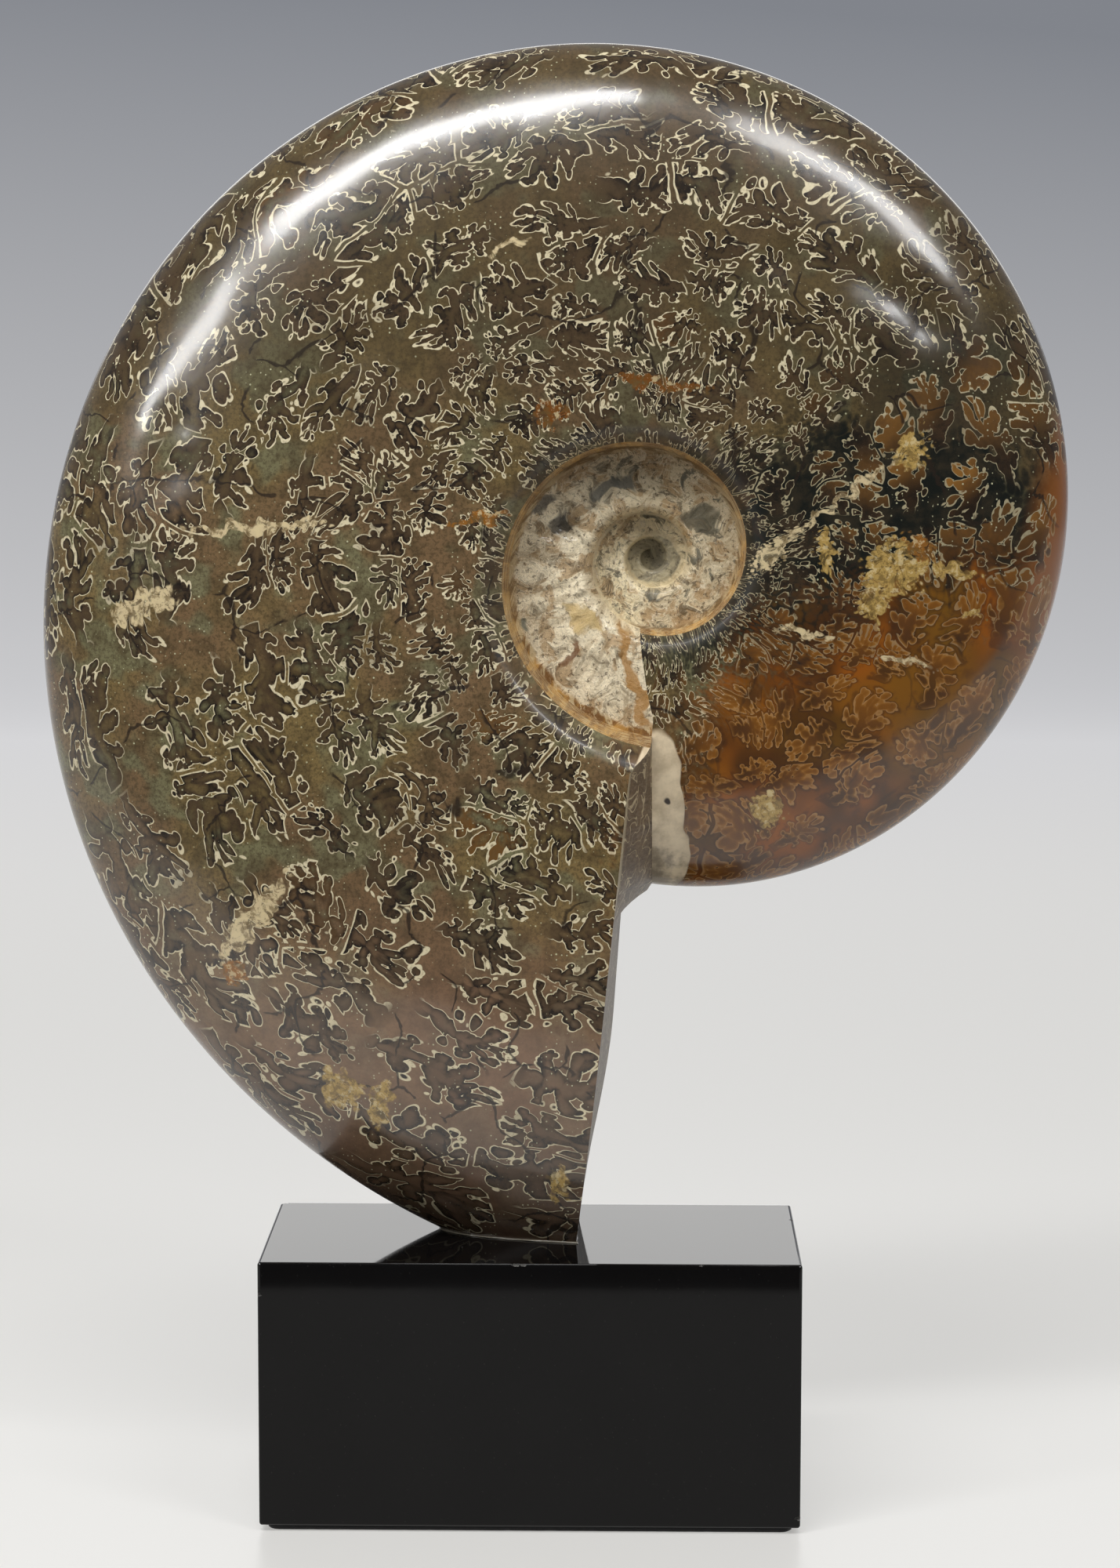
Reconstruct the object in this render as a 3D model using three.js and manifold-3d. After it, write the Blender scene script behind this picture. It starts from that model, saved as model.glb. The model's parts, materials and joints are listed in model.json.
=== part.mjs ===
// A polished ammonite standing on its ground foot, glued to a black marble block with a felt pad.
// Millimetres, +Z up, +X to the viewer's right, -Y towards the viewer.
// The origin is the centre of the pad's underside.

import * as THREE from 'three';
import Module from 'manifold-3d';
import { mergeVertices } from 'three/addons/utils/BufferGeometryUtils.js';

const wasm = await Module();
wasm.setup();

// Driving dimensions of the base
const BLOCK_WIDTH = 100;
const BLOCK_DEPTH = 50;
const BLOCK_HEIGHT = 49.6;
const BLOCK_CHAMFER = 0.7;
const PAD_THICKNESS = 1.2;
const PAD_INSET = 1.4;
const PAD_CORNER = 2;
const GLUE_THICKNESS = 0.3;
const GLUE_TIP = -17.8;
const GLUE_END = 8.3;
const GLUE_HALF_WIDTH = 12;
const GLUE_BULGE = 0.8;

// Driving dimensions of the shell. Angles run anticlockwise from +X, seen from the front.
const SHELL_CENTRE = { x: 21.8, y: 4, z: 178.8 };
const APERTURE_ANGLE = 264.5;
const VENTER_RADIUS = 138.7;
const VENTER_GROWTH = 2.27;
const VENTER_SWELL = 0.0151;
const VENTER_SWELL_ANGLE = 26;
const SEAM_RADIUS = 31.2;
const SEAM_GROWTH = 2.45;
const HALF_THICKNESS = 27;
const THICKNESS_GROWTH = 1.95;
const WIDEST_AT = 0.75;
const SHOULDER_POWER = 12;
const HALF_TURNS = 6;
const BOSS_RADIUS = 4.5;
const BOSS_HALF_THICKNESS = 2.6;

// The sawn end of the last whorl, as heights and the x where the saw left the front and the back.
const SAW_LEVELS = [
  { z: 40, front: 7.4, back: 7.6 },
  { z: 51, front: 8.4, back: 8.8 },
  { z: 83, front: 11.3, back: 13.6 },
  { z: 104, front: 14.8, back: 18.0 },
  { z: 122, front: 16.8, back: 20.2 },
  { z: 160, front: 17.0, back: 20.4 },
];
const SAW_HALF_DEPTH = 30;
const SAW_REACH = 60;

// The pale matrix left in the corner between the sawn end and the whorl inside it. Each level gives
// the x of the corner's edge on the saw cut, of its crease and of its edge on the inner whorl.
const MATRIX_LEVELS = [
  { z: 147.5, cut: 16.9, crease: 17.6, edge: 20.5 },
  { z: 142, cut: 17.0, crease: 19.4, edge: 24.4 },
  { z: 135, cut: 17.0, crease: 20.8, edge: 28.0 },
  { z: 127, cut: 16.9, crease: 21.0, edge: 27.4 },
  { z: 120, cut: 16.7, crease: 20.8, edge: 27.6 },
  { z: 115.5, cut: 16.3, crease: 19.6, edge: 23.0 },
];
const MATRIX_CUT_Y = 17.5;
const MATRIX_CREASE_Y = 14.5;
const MATRIX_EDGE_Y = 10.5;
const MATRIX_ROOT_DEPTH = 4;

// How finely the faceted solid follows the shell
const OUTER_RINGS = 28;
const RINGS_LOST_PER_HALF_TURN = 3;
const VENTER_STEPS = 7;
const SHOULDER_STEPS = 4;
const OVERRUN_ANGLE = 8;

const blockTop = PAD_THICKNESS + BLOCK_HEIGHT;
const footLevel = blockTop + GLUE_THICKNESS;

// Size of the whorl at an angle, in degrees: every measure grows by a fixed share per turn.
function turnsBeforeAperture(angle) {
  return (angle - APERTURE_ANGLE) / 360;
}

function venterRadius(angle) {
  const swell = Math.cos(THREE.MathUtils.degToRad(angle - VENTER_SWELL_ANGLE));
  return VENTER_RADIUS * VENTER_GROWTH ** turnsBeforeAperture(angle) * (1 + VENTER_SWELL * swell);
}

function seamRadius(angle) {
  return SEAM_RADIUS * SEAM_GROWTH ** turnsBeforeAperture(angle);
}

function halfThickness(angle) {
  return HALF_THICKNESS * THICKNESS_GROWTH ** turnsBeforeAperture(angle);
}

// Half of a whorl's section, as shares of its height (0 at the venter, 1 at the seam) and of its
// half thickness: an ellipse over the flank and a squarer curve round the umbilical shoulder.
function sectionShares() {
  const shares = [];
  for (let i = 0; i <= VENTER_STEPS; i += 1) {
    const turn = (i / VENTER_STEPS) * (Math.PI / 2);
    shares.push({ height: WIDEST_AT * (1 - Math.cos(turn)), width: Math.sin(turn) });
  }
  for (let i = 1; i <= SHOULDER_STEPS; i += 1) {
    const turn = (i / SHOULDER_STEPS) * (Math.PI / 2);
    const along = Math.sin(turn) ** (2 / SHOULDER_POWER);
    shares.push({ height: WIDEST_AT + (1 - WIDEST_AT) * along, width: Math.cos(turn) });
  }
  return shares;
}

// The closed section at an angle, as points in space: back flank from venter to seam, then front.
function whorlSection(angle) {
  const outer = venterRadius(angle);
  const inner = seamRadius(angle);
  const thickness = halfThickness(angle);
  const direction = THREE.MathUtils.degToRad(angle);
  const place = (share, side) => {
    const radius = outer + (inner - outer) * share.height;
    return new THREE.Vector3(
      SHELL_CENTRE.x + radius * Math.cos(direction),
      SHELL_CENTRE.y + side * thickness * share.width,
      SHELL_CENTRE.z + radius * Math.sin(direction),
    );
  };
  const shares = sectionShares();
  const back = shares.map((share) => place(share, 1));
  const front = shares.slice(1, -1).map((share) => place(share, -1));
  return back.concat(front.reverse());
}

// A closed solid through equal-length rings of points, capped by a fan at both ends.
function loft(rings) {
  const size = rings[0].length;
  const positions = rings.flat().flatMap((point) => point.toArray());
  const index = [];
  for (let ring = 0; ring < rings.length - 1; ring += 1) {
    for (let i = 0; i < size; i += 1) {
      const a = ring * size + i;
      const b = ring * size + ((i + 1) % size);
      index.push(a, b, b + size, a, b + size, a + size);
    }
  }
  const last = (rings.length - 1) * size;
  for (let i = 1; i < size - 1; i += 1) {
    index.push(0, i + 1, i);
    index.push(last, last + i, last + i + 1);
  }
  const geometry = new THREE.BufferGeometry();
  geometry.setAttribute('position', new THREE.Float32BufferAttribute(positions, 3));
  geometry.setIndex(index);
  return geometry;
}

function toSolid(geometry) {
  const bare = geometry.clone();
  bare.deleteAttribute('normal');
  bare.deleteAttribute('uv');
  const merged = mergeVertices(bare, 1e-5);
  return new wasm.Manifold(new wasm.Mesh({
    numProp: 3,
    vertProperties: new Float32Array(merged.attributes.position.array),
    triVerts: new Uint32Array(merged.index.array),
  }));
}

function toGeometry(solid) {
  const mesh = solid.getMesh();
  const geometry = new THREE.BufferGeometry();
  geometry.setAttribute('position', new THREE.BufferAttribute(mesh.vertProperties, 3));
  geometry.setIndex(new THREE.BufferAttribute(mesh.triVerts, 1));
  geometry.computeVertexNormals();
  return geometry;
}

// The main body of a solid, without the empty slivers left where two stretches share a section.
function largestBody(solid) {
  return solid.decompose().reduce((best, body) => (body.volume() > best.volume() ? body : best));
}

// A stretch of the shell tube between two angles.
function whorlStretch(startAngle, endAngle, steps) {
  const rings = [];
  for (let i = 0; i <= steps; i += 1) {
    rings.push(whorlSection(startAngle + ((endAngle - startAngle) * i) / steps));
  }
  return toSolid(loft(rings));
}

// What the saw took off beyond the aperture: everything on the +X side of the saw cut.
function sawnOffRegion() {
  const near = SHELL_CENTRE.y - SAW_HALF_DEPTH;
  const far = SHELL_CENTRE.y + SAW_HALF_DEPTH;
  const rings = SAW_LEVELS.map(({ z, front, back }) => [
    new THREE.Vector3(front, near, z),
    new THREE.Vector3(SAW_REACH, near, z),
    new THREE.Vector3(SAW_REACH, far, z),
    new THREE.Vector3(back, far, z),
  ]);
  return toSolid(loft(rings));
}

// The matrix wedge on one side of the shell: -1 is the front, 1 is the back.
function matrixWedge(side) {
  const middle = SHELL_CENTRE.y;
  const rings = [...MATRIX_LEVELS].reverse().map(({ z, cut, crease, edge }) => {
    const ring = [
      new THREE.Vector3(cut - MATRIX_ROOT_DEPTH, middle + side * MATRIX_CUT_Y, z),
      new THREE.Vector3(cut, middle + side * MATRIX_CUT_Y, z),
      new THREE.Vector3(crease, middle + side * MATRIX_CREASE_Y, z),
      new THREE.Vector3(edge, middle + side * MATRIX_EDGE_Y, z),
      new THREE.Vector3(edge, middle, z),
      new THREE.Vector3(cut - MATRIX_ROOT_DEPTH, middle, z),
    ];
    return side < 0 ? ring : ring.reverse();
  });
  return toSolid(loft(rings));
}

function ammoniteGeometry() {
  const lastHalf = whorlStretch(APERTURE_ANGLE - 180, APERTURE_ANGLE + OVERRUN_ANGLE, OUTER_RINGS);
  let shell = lastHalf.subtract(sawnOffRegion());
  for (let turn = 1; turn < HALF_TURNS; turn += 1) {
    const end = APERTURE_ANGLE - 180 * turn;
    shell = shell.add(whorlStretch(end - 180, end, OUTER_RINGS - RINGS_LOST_PER_HALF_TURN * turn));
  }
  const boss = new THREE.SphereGeometry(BOSS_RADIUS, 10, 6);
  boss.scale(1, BOSS_HALF_THICKNESS / BOSS_RADIUS, 1);
  boss.translate(SHELL_CENTRE.x, SHELL_CENTRE.y, SHELL_CENTRE.z);
  shell = shell.add(toSolid(boss)).add(matrixWedge(-1)).add(matrixWedge(1));
  const belowFoot = new THREE.BoxGeometry(BLOCK_WIDTH, BLOCK_WIDTH, BLOCK_HEIGHT);
  belowFoot.translate(0, 0, footLevel - BLOCK_HEIGHT / 2);
  return toGeometry(largestBody(shell.subtract(toSolid(belowFoot))));
}

// A rectangle with its corners cut off at 45 degrees, centred on the origin.
function cornerCutRectangle(width, depth, corner) {
  const x = width / 2;
  const y = depth / 2;
  return new THREE.Shape([
    new THREE.Vector2(-x + corner, -y),
    new THREE.Vector2(x - corner, -y),
    new THREE.Vector2(x, -y + corner),
    new THREE.Vector2(x, y - corner),
    new THREE.Vector2(x - corner, y),
    new THREE.Vector2(-x + corner, y),
    new THREE.Vector2(-x, y - corner),
    new THREE.Vector2(-x, -y + corner),
  ]);
}

function blockGeometry() {
  const shrink = 2 * BLOCK_CHAMFER;
  const outline = cornerCutRectangle(BLOCK_WIDTH - shrink, BLOCK_DEPTH - shrink, BLOCK_CHAMFER / 2);
  const geometry = new THREE.ExtrudeGeometry(outline, {
    depth: BLOCK_HEIGHT - shrink,
    bevelSize: BLOCK_CHAMFER,
    bevelThickness: BLOCK_CHAMFER,
    bevelSegments: 1,
  });
  geometry.translate(0, 0, PAD_THICKNESS + BLOCK_CHAMFER);
  return geometry;
}

function padGeometry() {
  const outline = cornerCutRectangle(BLOCK_WIDTH - 2 * PAD_INSET, BLOCK_DEPTH - 2 * PAD_INSET, PAD_CORNER);
  return new THREE.ExtrudeGeometry(outline, { depth: PAD_THICKNESS, bevelEnabled: false });
}

// The glue under the foot, in the foot's own outline: a point at the left, widest at the saw cut.
function glueGeometry() {
  const middle = SHELL_CENTRE.y;
  const bulge = GLUE_BULGE * GLUE_HALF_WIDTH;
  const outline = new THREE.Shape();
  outline.moveTo(GLUE_TIP, middle);
  outline.quadraticCurveTo(GLUE_TIP, middle - bulge, GLUE_END, middle - GLUE_HALF_WIDTH);
  outline.lineTo(GLUE_END, middle + GLUE_HALF_WIDTH);
  outline.quadraticCurveTo(GLUE_TIP, middle + bulge, GLUE_TIP, middle);
  const settings = { depth: GLUE_THICKNESS, bevelEnabled: false, curveSegments: 8 };
  const geometry = new THREE.ExtrudeGeometry(outline, settings);
  geometry.translate(0, 0, blockTop);
  return geometry;
}

function part(name, geometry, color, roughness) {
  const material = new THREE.MeshStandardMaterial({ color, roughness, metalness: 0 });
  const mesh = new THREE.Mesh(geometry, material);
  mesh.name = name;
  return mesh;
}

const group = new THREE.Group();
group.add(part('ammonite', ammoniteGeometry(), 0x5c4a32, 0.12));
group.add(part('marble_block', blockGeometry(), 0x161617, 0.08));
group.add(part('felt_pad', padGeometry(), 0x1c1c1d, 0.95));
group.add(part('glue_film', glueGeometry(), 0xd8d4c8, 0.3));

export default group;
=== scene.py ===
# A polished ammonite on a black marble block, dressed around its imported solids.

import json
import math
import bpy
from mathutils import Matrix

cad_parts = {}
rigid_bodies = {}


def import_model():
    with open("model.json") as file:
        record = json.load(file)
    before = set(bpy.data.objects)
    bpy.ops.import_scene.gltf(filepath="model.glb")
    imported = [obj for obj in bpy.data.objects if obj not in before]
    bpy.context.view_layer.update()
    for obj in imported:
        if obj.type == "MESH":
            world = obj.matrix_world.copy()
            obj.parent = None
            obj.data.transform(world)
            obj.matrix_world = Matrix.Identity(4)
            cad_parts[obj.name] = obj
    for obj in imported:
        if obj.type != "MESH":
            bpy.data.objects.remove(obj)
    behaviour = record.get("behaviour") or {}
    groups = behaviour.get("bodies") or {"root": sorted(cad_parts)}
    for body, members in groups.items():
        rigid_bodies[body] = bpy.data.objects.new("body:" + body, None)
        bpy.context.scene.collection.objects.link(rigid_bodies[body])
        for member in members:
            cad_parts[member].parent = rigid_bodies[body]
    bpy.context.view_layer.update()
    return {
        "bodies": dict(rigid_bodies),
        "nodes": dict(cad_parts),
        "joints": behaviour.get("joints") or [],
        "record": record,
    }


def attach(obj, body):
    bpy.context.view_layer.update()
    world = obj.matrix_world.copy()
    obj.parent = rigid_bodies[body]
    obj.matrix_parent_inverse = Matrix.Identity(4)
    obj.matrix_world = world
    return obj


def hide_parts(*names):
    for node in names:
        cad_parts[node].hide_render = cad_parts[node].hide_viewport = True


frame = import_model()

from types import SimpleNamespace

import bmesh
import bpy
import numpy as np
from mathutils import Matrix, Vector, noise

MM = 0.001

# Places and sizes in millimetres, the same as the solids'
SHELL_CENTRE = (21.8, 4.0, 178.8)
APERTURE_ANGLE = 264.5
VENTER_RADIUS = 138.7
VENTER_GROWTH = 2.27
VENTER_SWELL = 0.0151
VENTER_SWELL_ANGLE = 26.0
SEAM_RADIUS = 31.2
SEAM_GROWTH = 2.45
HALF_THICKNESS = 27.0
THICKNESS_GROWTH = 1.95
WIDEST_AT = 0.75
SHOULDER_POWER = 12.0


def srgb(red, green, blue):
    """A colour as seen on screen, from 0 to 255, in the linear values that materials take."""
    def linear(value):
        value /= 255
        return value / 12.92 if value <= 0.04045 else ((value + 0.055) / 1.055) ** 2.4
    return linear(red), linear(green), linear(blue)


# The camera

CAMERA_PLACE = (16.0, -716.58, 218.68)
CAMERA_YAW = math.radians(-0.8751)
CAMERA_PITCH = math.radians(6.5425)
CAMERA_ROLL = math.radians(0.093)
CAMERA_LENS = 88.53
CAMERA_SENSOR = 36.0
CAMERA_CLIP_START = 0.05


def make_camera():
    forward = Vector((
        math.sin(CAMERA_YAW) * math.cos(CAMERA_PITCH),
        math.cos(CAMERA_YAW) * math.cos(CAMERA_PITCH),
        -math.sin(CAMERA_PITCH),
    ))
    level = Vector((math.cos(CAMERA_YAW), -math.sin(CAMERA_YAW), 0.0))
    upright = level.cross(forward)
    right = level * math.cos(CAMERA_ROLL) + upright * math.sin(CAMERA_ROLL)
    up = right.cross(forward)
    data = bpy.data.cameras.new("camera")
    data.lens = CAMERA_LENS
    data.sensor_width = CAMERA_SENSOR
    data.clip_start = CAMERA_CLIP_START
    camera = bpy.data.objects.new("camera", data)
    turn = Matrix((right, up, -forward)).transposed().to_4x4()
    camera.matrix_world = Matrix.Translation(Vector(CAMERA_PLACE) * MM) @ turn
    bpy.context.scene.collection.objects.link(camera)
    bpy.context.scene.camera = camera


# The shell's surface

ANGLE_STEP = 1.2
SPLIT_ANGLE = 270.5
UMBILICUS_TURNS = 2.5
FLANK_ROWS = 44
SHARED_ROWS = 20
PER_TURN = int(round(360 / ANGLE_STEP))
ROW_CROWDING = 1.8
SEAM_SEARCH = (0.8, 1.0)
SEARCH_STEPS = 40


def turns(angle):
    return (angle - APERTURE_ANGLE) / 360.0


def venter_radius(angle):
    swell = 1 + VENTER_SWELL * np.cos(np.radians(angle - VENTER_SWELL_ANGLE))
    return VENTER_RADIUS * VENTER_GROWTH ** turns(angle) * swell


def seam_radius(angle):
    return SEAM_RADIUS * SEAM_GROWTH ** turns(angle)


def half_thickness(angle):
    return HALF_THICKNESS * THICKNESS_GROWTH ** turns(angle)


def section_width(share):
    """Part of the full half thickness at a share of the height: 0 at the venter, 1 at the seam."""
    share = np.clip(share, 0.0, 1.0)
    outer = np.sqrt(np.clip(1 - ((WIDEST_AT - share) / WIDEST_AT) ** 2, 0, 1))
    inner_part = np.clip((share - WIDEST_AT) / (1 - WIDEST_AT), 0, 1)
    inner = np.sqrt(np.clip(1 - inner_part ** SHOULDER_POWER, 0, 1))
    return np.where(share < WIDEST_AT, outer, inner)


def share_at(radius, angle):
    """Share of the whorl's height at a radius, 0 at the venter and 1 at the seam."""
    outer = venter_radius(angle)
    return (outer - radius) / (outer - seam_radius(angle))


def radius_at(angle, share):
    """Radius at a share of the whorl's height."""
    outer = venter_radius(angle)
    return outer + (seam_radius(angle) - outer) * share


def seam_share(angle):
    """Share at which a whorl's umbilical wall meets the whorl inside it."""
    low = np.full_like(angle, SEAM_SEARCH[0])
    high = np.full_like(angle, SEAM_SEARCH[1])
    for _ in range(SEARCH_STEPS):
        middle = (low + high) / 2
        own = half_thickness(angle) * section_width(middle)
        share_inside = share_at(radius_at(angle, middle), angle - 360)
        above = own > half_thickness(angle - 360) * section_width(share_inside)
        low = np.where(above, middle, low)
        high = np.where(above, high, middle)
    return (low + high) / 2


def row_shares(start, end):
    """Shares of the shared rows, closer together towards the umbilical shoulder."""
    steps = 1 - (1 - np.linspace(0, 1, SHARED_ROWS + 1)) ** ROW_CROWDING
    return start[:, None] + (end - start)[:, None] * steps[None, :]


# The saw cut at the end of the last whorl, in degrees and in shares of the whorl's height
SAW_BLEND_ANGLE = 22.0
SAW_LEAN_FRONT = -6.3
SAW_LEAN_BACK = -4.7
SAW_LEAN_FOOT = -6.5
SAW_LEAN_SPAN = (0.05, 0.45)
SHOULDER_SHARE = 0.93


def smooth(value, low, high):
    t = np.clip((value - low) / (high - low), 0, 1)
    return t * t * (3 - 2 * t)


def saw_lean(share, end_share, side):
    """How far short of the split angle the saw cut ended the last whorl, in degrees."""
    flank = SAW_LEAN_FRONT if side < 0 else SAW_LEAN_BACK
    lean = SAW_LEAN_FOOT + (flank - SAW_LEAN_FOOT) * smooth(share, *SAW_LEAN_SPAN)
    return lean * (1 - smooth(share, SHOULDER_SHARE, end_share))


# Relief on the shell: slow waves that leave the rim calm, dents and a pit given by x, z, radius and
# depth, and the matrix beside the saw cut
WAVE_HEIGHT = 0.28
CALM_RIM = (4.0, 12.0)
DENT_FALL = 1.6
PIT_FALL = 1.0
DENTS_FRONT = [
    (-66.0, 195.0, 6.0, 0.7), (-65.0, 203.5, 4.0, 0.5), (-31.0, 217.0, 5.0, 0.8),
    (-15.0, 158.0, 5.0, 1.1), (46.0, 233.0, 4.5, 0.8), (61.0, 230.5, 5.5, 1.0),
    (67.0, 227.0, 5.5, 1.1), (72.5, 222.0, 5.5, 1.1),
]
DENTS_BACK = [(-40.0, 210.0, 6.0, 1.1), (60.0, 215.0, 5.0, 0.9), (-20.0, 120.0, 6.0, 0.9)]
PITS_FRONT = [(5.6, 185.1, 2.2, 2.2)]
MATRIX_CENTRE = (22.0, 130.0)
MATRIX_REACH = (6.5, 17.0)
MATRIX_RISE = 4.0
MATRIX_POWER = 1.1
MATRIX_BLEND_HEIGHT = 3.0
SAW_PLANE_X = 21.9
INNER_REACH = 64.0

# Relief in the umbilicus, which fades on the smallest whorls
LUMP_HEIGHT = 0.75
FOLD_HEIGHT = 0.12
FOLDS_PER_TURN = 13
STEP_HEIGHT = 0.5
STEPS_ACROSS = 4
FULL_RELIEF_RADIUS = 25.0
LEAST_RELIEF = 0.25


def rough_noise(x, z, coarse, fine, side):
    """Two noises over the plan, each given by its lump size and a level that differs by side."""
    values = [
        noise.noise(Vector((px / coarse[0], pz / coarse[0], coarse[1] * side)))
        + 0.5 * noise.noise(Vector((px / fine[0], pz / fine[0], fine[1] * side)))
        for px, pz in zip(x.ravel(), z.ravel())
    ]
    return np.array(values).reshape(x.shape)


def dented(relief, x, z, dents, fall):
    """The relief with dents pressed in, each falling off from its middle at the given rate."""
    for dent_x, dent_z, radius, depth in dents:
        apart = ((x - dent_x) ** 2 + (z - dent_z) ** 2) / radius ** 2
        relief = relief - depth * np.exp(-apart * fall)
    return relief


def shell_relief(x, z, height, right_of_saw, side):
    """What stands proud of the plain section: slow waves, small dents and the matrix in the corner."""
    relief = WAVE_HEIGHT * rough_noise(x, z, (26.0, 3.0), (11.0, 7.0), side)
    relief = dented(relief, x, z, DENTS_FRONT if side < 0 else DENTS_BACK, DENT_FALL)
    relief = relief * smooth(height, *CALM_RIM)
    cx, cz = MATRIX_CENTRE
    rx, rz = MATRIX_REACH
    away = np.sqrt(((x - cx) / rx) ** 2 + ((z - cz) / rz) ** 2)
    fill = MATRIX_RISE * np.clip(1 - away, 0, 1) ** MATRIX_POWER
    fill = fill * np.clip(height / MATRIX_BLEND_HEIGHT, 0, 1)
    return relief + np.where(right_of_saw, fill, 0.0)


def umbilicus_relief(x, z, radius, angle, across, side):
    """Rough surface of the inner whorls: radial folds, growth steps, lumps and one pit."""
    lumps = rough_noise(x, z, (2.6, 11.0), (1.1, 5.0), side)
    fold = np.sin(np.radians(angle) * FOLDS_PER_TURN + 2.5 * across + 5 * lumps)
    steps = np.abs(((across * STEPS_ACROSS + 0.9 * lumps) % 1.0) - 0.5) - 0.25
    relief = LUMP_HEIGHT * lumps + FOLD_HEIGHT * fold + STEP_HEIGHT * steps
    relief = relief * np.clip(radius / FULL_RELIEF_RADIUS, LEAST_RELIEF, 1.0)
    if side < 0:
        relief = dented(relief, x, z, PITS_FRONT, PIT_FALL)
    return relief * np.sin(across * math.pi) ** 0.6


# Material slots of the shell
FLANK, UMBILICUS, SAWN = 0, 1, 2


class Surface:
    """Quads and triangles gathered patch by patch, with two flat maps for the materials."""

    def __init__(self):
        self.points = []
        self.faces = []
        self.flat = []
        self.ribbon = []
        self.slots = []
        self.count = 0

    def grid(self, points, flat, ribbon, slot_of_row, flip):
        """A grid of points: rows along the first axis, columns along the second."""
        rows, columns = points.shape[:2]
        base = self.count
        self.points.append(points.reshape(-1, 3))
        self.count += rows * columns
        i, j = np.meshgrid(np.arange(rows - 1), np.arange(columns - 1), indexing="ij")
        i, j = i.ravel(), j.ravel()
        corners = [(i, j), (i + 1, j), (i + 1, j + 1), (i, j + 1)]
        if flip:
            corners.reverse()
        quad = np.stack([base + a * columns + b for a, b in corners], axis=1)
        self.faces.extend(quad.tolist())
        for kept, values in ((self.flat, flat), (self.ribbon, ribbon)):
            kept.append(np.stack([values[a, b] for a, b in corners], axis=1).reshape(-1, 2))
        self.slots.extend(np.asarray(slot_of_row)[j].tolist())

    def triangles(self, points, triples, slot, across=0):
        """Loose triangles, with the axis that goes across their flat map."""
        base = self.count
        self.points.append(np.asarray(points))
        self.count += len(points)
        for triple in triples:
            self.faces.append([base + k for k in triple])
            place = np.array([[points[k][across], points[k][2]] for k in triple])
            self.flat.append(place * MM)
            self.ribbon.append(np.zeros((3, 2)))
            self.slots.append(slot)

    def mesh(self, name):
        data = bpy.data.meshes.new(name)
        data.from_pydata((np.concatenate(self.points) * MM).tolist(), [], self.faces)
        for map_name, values in (("flat", self.flat), ("ribbon", self.ribbon)):
            layer = data.uv_layers.new(name=map_name)
            layer.data.foreach_set("uv", np.concatenate(values).ravel())
        data.polygons.foreach_set("material_index", self.slots)
        return data


# The back's flat map is the front's, mirrored and moved over by this
SIDE_SHIFT = 400.0
# Rows of the last whorl that have the umbilicus's material
WALL_ROWS = 3

# The split between the last whorl's end and start: how far the start leans, in degrees by radius,
# over what angle that fades, and the shares over which the relief fades at the seam
SPLIT_BEND_RADII = (13.4, 20.0, 29.0, 32.2)
SPLIT_BEND_DEGREES = (-9.0, -4.0, 0.6, 0.0)
START_BLEND_ANGLE = 24.0
SEAM_TAPER = (0.9, 0.98)


def on_plan(angle, radius):
    direction = np.radians(angle)
    return SHELL_CENTRE[0] + radius * np.cos(direction), SHELL_CENTRE[2] + radius * np.sin(direction)


def place_points(angle, share):
    """Points of the whorl's surface, with their radius and height above the middle plane."""
    radius = radius_at(angle, share)
    x, z = on_plan(angle, radius)
    return x, z, radius, half_thickness(angle) * section_width(share)


def flat_map(angle, radius, height, side, unroll):
    """Plan place of each point, with the rounded rim rolled out flat."""
    reach = radius.copy()
    if unroll:
        for j in range(FLANK_ROWS - 2, -1, -1):
            step = np.hypot(radius[:, j] - radius[:, j + 1], height[:, j] - height[:, j + 1])
            reach[:, j] = reach[:, j + 1] + step
    x, z = on_plan(angle, reach)
    if side > 0:
        x = SIDE_SHIFT - x
    return np.stack([x, z], axis=-1) * MM


def split_bend(radius):
    """How far the border between the umbilicus and the whorl behind it leans from the split."""
    return np.interp(radius, SPLIT_BEND_RADII, SPLIT_BEND_DEGREES)


def last_whorl(surface, side):
    """One flank of the last whorl with its umbilical wall; returns its points."""
    angle = SPLIT_ANGLE - 360 + np.arange(0, 360 + ANGLE_STEP / 2, ANGLE_STEP)
    end_share = seam_share(angle)
    open_share = share_at(radius_at(angle[-1:], end_share[-1:]), angle[:1])[0]
    turn = math.acos(1 - open_share / WIDEST_AT)
    outer = WIDEST_AT * (1 - np.cos(np.linspace(0, turn, FLANK_ROWS + 1)))
    share = np.concatenate([
        np.repeat(outer[None, :-1], len(angle), axis=0),
        row_shares(np.full(len(angle), open_share), end_share),
    ], axis=1)
    lean = saw_lean(share, end_share[:, None], side)
    lean = lean * smooth(angle, SPLIT_ANGLE - SAW_BLEND_ANGLE, SPLIT_ANGLE)[:, None]
    start = 1 - smooth(angle, angle[0], angle[0] + START_BLEND_ANGLE)[:, None]
    around = angle[:, None] + lean + start * split_bend(radius_at(angle[:, None], share))
    x, z, radius, height = place_points(around, share)
    right_of_saw = (x > SAW_PLANE_X) & (radius < INNER_REACH)
    relief = shell_relief(x, z, height, right_of_saw, side)
    seam_taper = 1 - smooth(share, *SEAM_TAPER)
    raised = height + relief * np.where(right_of_saw, 1.0, seam_taper)
    raised[:, 0] = 0.0
    points = np.stack([x, SHELL_CENTRE[1] + side * raised, z], axis=-1)
    ribbon = np.stack([around / 360, radius - radius[:, -1:]], axis=-1)
    rows = np.full(share.shape[1], FLANK)
    rows[-WALL_ROWS - 1:] = UMBILICUS
    flat = flat_map(around, radius, height, side, unroll=True)
    surface.grid(points, flat, ribbon, rows, side > 0)
    return points


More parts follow.
